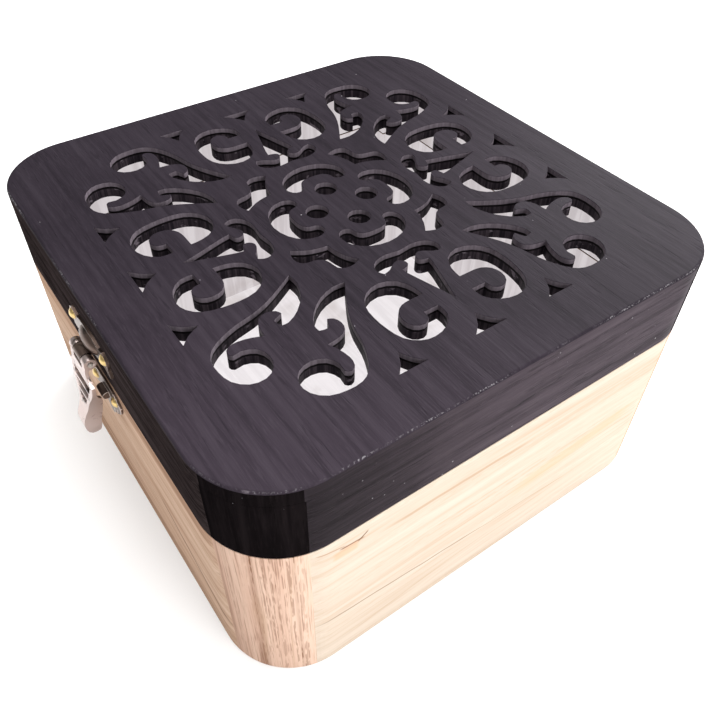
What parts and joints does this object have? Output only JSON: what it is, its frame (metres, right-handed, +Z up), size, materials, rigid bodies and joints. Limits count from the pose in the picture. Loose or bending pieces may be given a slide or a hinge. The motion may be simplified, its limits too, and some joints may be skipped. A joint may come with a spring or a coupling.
{
  "type": "besamim spice box",
  "caption": "Square wooden spice box with rounded corners, a hinged lid cut with scrolling fretwork, and a metal hasp latch on the front.",
  "frame": {"origin": "centre of the box's bottom face, on the table", "axes": "+X to the right seen from the latch side, +Y from the latch at the front towards the hinges at the back, +Z up"},
  "size_m": [0.16, 0.17, 0.088],
  "materials": {
    "natural_wood": "raw, lightly sanded",
    "painted_wood": "matte dark grey stain over open grain",
    "hinge_brass": "plated, slightly dull",
    "steel": "plain wire",
    "nail_brass": "polished head",
    "nickel_plate": "stamped sheet, bright plating with dark recesses"
  },
  "bodies": {
    "base": {"base_bottom": "natural_wood", "base_front_board": "natural_wood", "base_back_board": "natural_wood", "base_left_board": "natural_wood", "base_right_board": "natural_wood", "base_post_front_left": "natural_wood", "base_post_front_right": "natural_wood", "base_post_back_left": "natural_wood", "base_post_back_right": "natural_wood", "hinge_base_leaf_left": "hinge_brass", "hinge_base_leaf_right": "hinge_brass", "hinge_pin_left": "steel", "hinge_pin_right": "steel", "hinge_base_nails": "nail_brass", "latch_base_plate": "nickel_plate", "latch_base_nails": "nail_brass"},
    "lid": {"lid_fretwork_panel": "painted_wood", "lid_front_board": "painted_wood", "lid_back_board": "painted_wood", "lid_left_board": "painted_wood", "lid_right_board": "painted_wood", "lid_post_front_left": "painted_wood", "lid_post_front_right": "painted_wood", "lid_post_back_left": "painted_wood", "lid_post_back_right": "painted_wood", "hinge_lid_leaf_left": "hinge_brass", "hinge_lid_leaf_right": "hinge_brass", "hinge_lid_nails": "nail_brass", "latch_lid_plate": "nickel_plate", "latch_lid_nails": "nail_brass", "latch_hasp_pin": "steel"},
    "hasp": {"latch_hasp": "nickel_plate"}
  },
  "joints": [
    {"name": "lid_hinge", "type": "hinge", "parent": "base", "child": "lid", "pos_m": [0, 0.078, 0.06215], "axis": [-1, 0, 0], "range_deg": [0, 104]},
    {"name": "hasp_pivot", "type": "hinge", "parent": "lid", "child": "hasp", "pos_m": [0, -0.0834, 0.072], "axis": [-1, 0, 0], "range_deg": [0, 130]}
  ]
}
